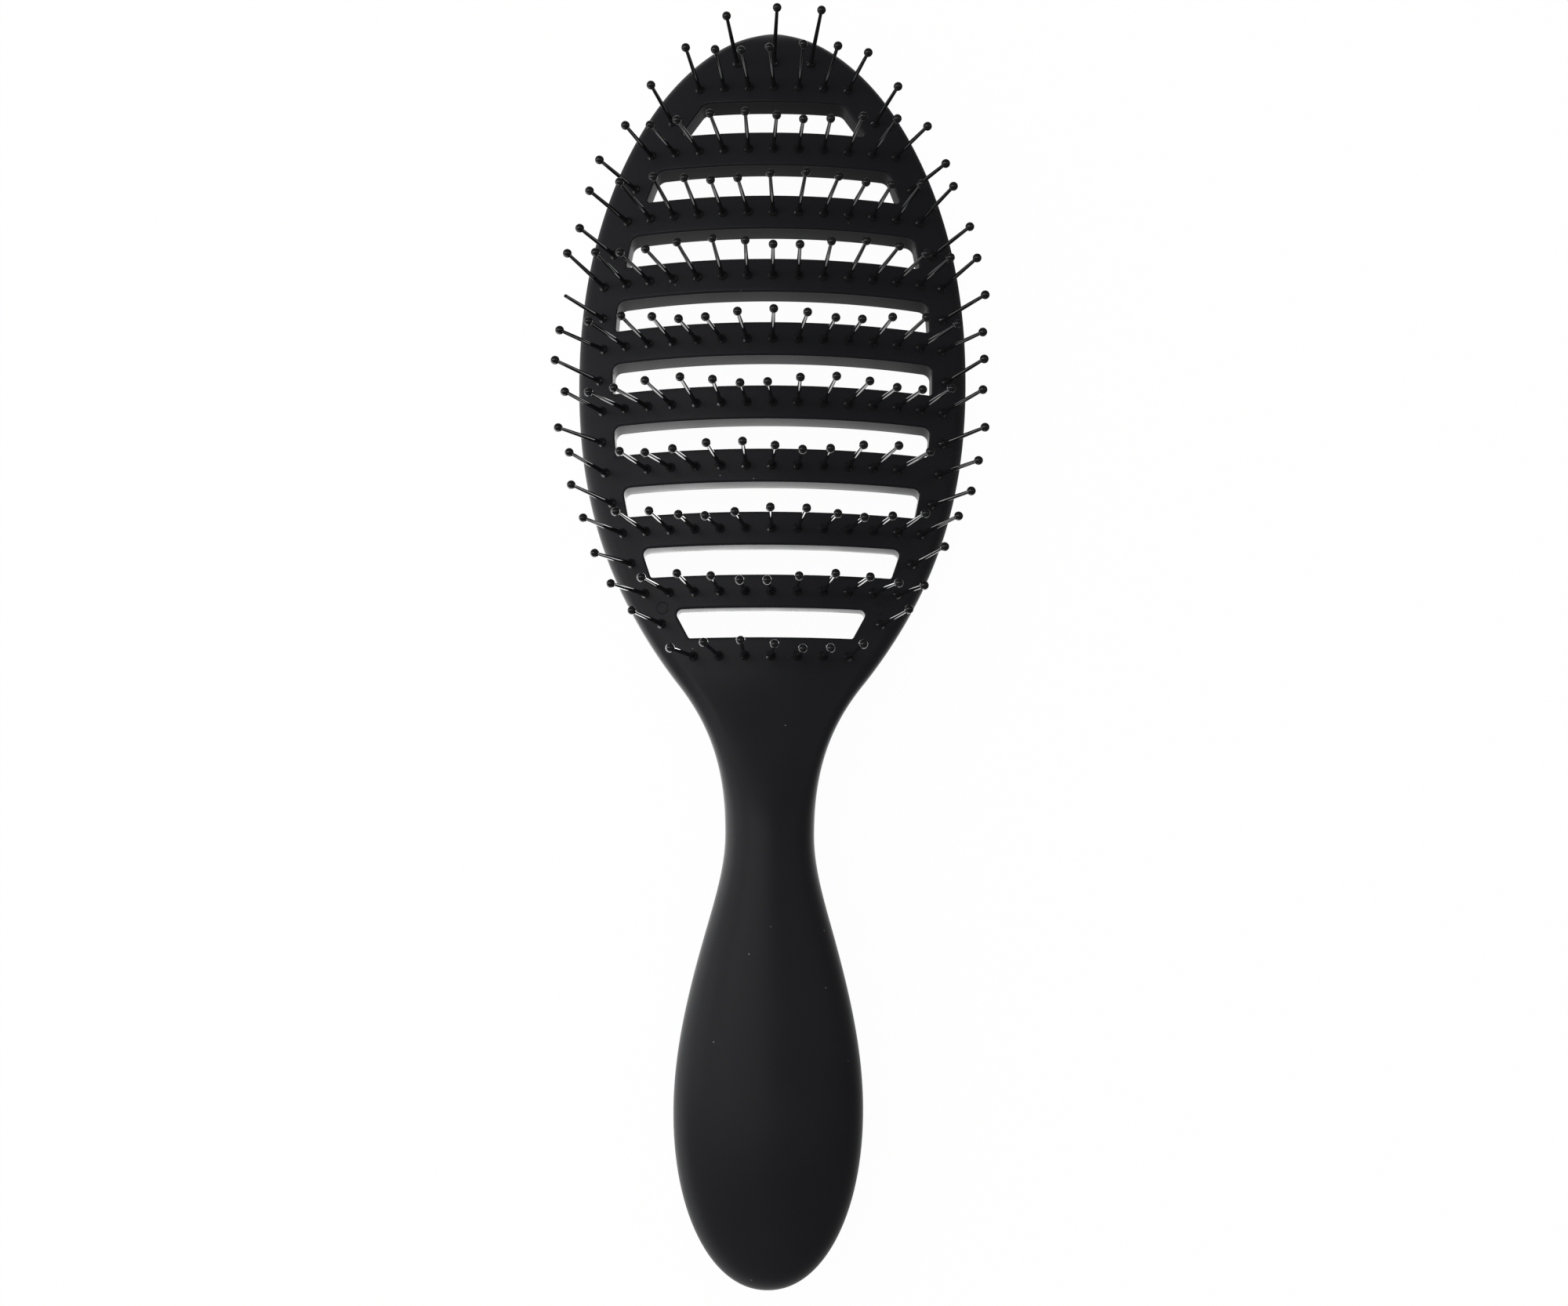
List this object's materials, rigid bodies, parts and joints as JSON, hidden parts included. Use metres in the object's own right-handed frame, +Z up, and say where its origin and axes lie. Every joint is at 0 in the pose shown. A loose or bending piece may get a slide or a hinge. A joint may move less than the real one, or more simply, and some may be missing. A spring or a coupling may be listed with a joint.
{
  "type": "vent brush",
  "caption": "Hair brush with a curved, vented oval head, ball-tipped pins and a rounded handle.",
  "frame": {"origin": "on the surface that the brush lies on, under the middle of its length and width", "axes": "+X across the brush, +Y along it toward the head's tip, +Z up, the way the pins point"},
  "size_m": [0.0786, 0.229, 0.0287],
  "materials": {
    "soft_touch_body": "matte soft-touch black",
    "nylon_pins": "glossy black nylon"
  },
  "bodies": {
    "root": {"body": "soft_touch_body", "pins_row_1": "nylon_pins", "pins_row_2": "nylon_pins", "pins_row_3": "nylon_pins", "pins_row_4": "nylon_pins", "pins_row_5": "nylon_pins", "pins_row_6": "nylon_pins", "pins_row_7": "nylon_pins", "pins_row_8": "nylon_pins", "pins_row_9": "nylon_pins", "pins_row_10": "nylon_pins", "pins_tip": "nylon_pins", "pins_rim_left": "nylon_pins", "pins_rim_right": "nylon_pins"}
  },
  "joints": []
}
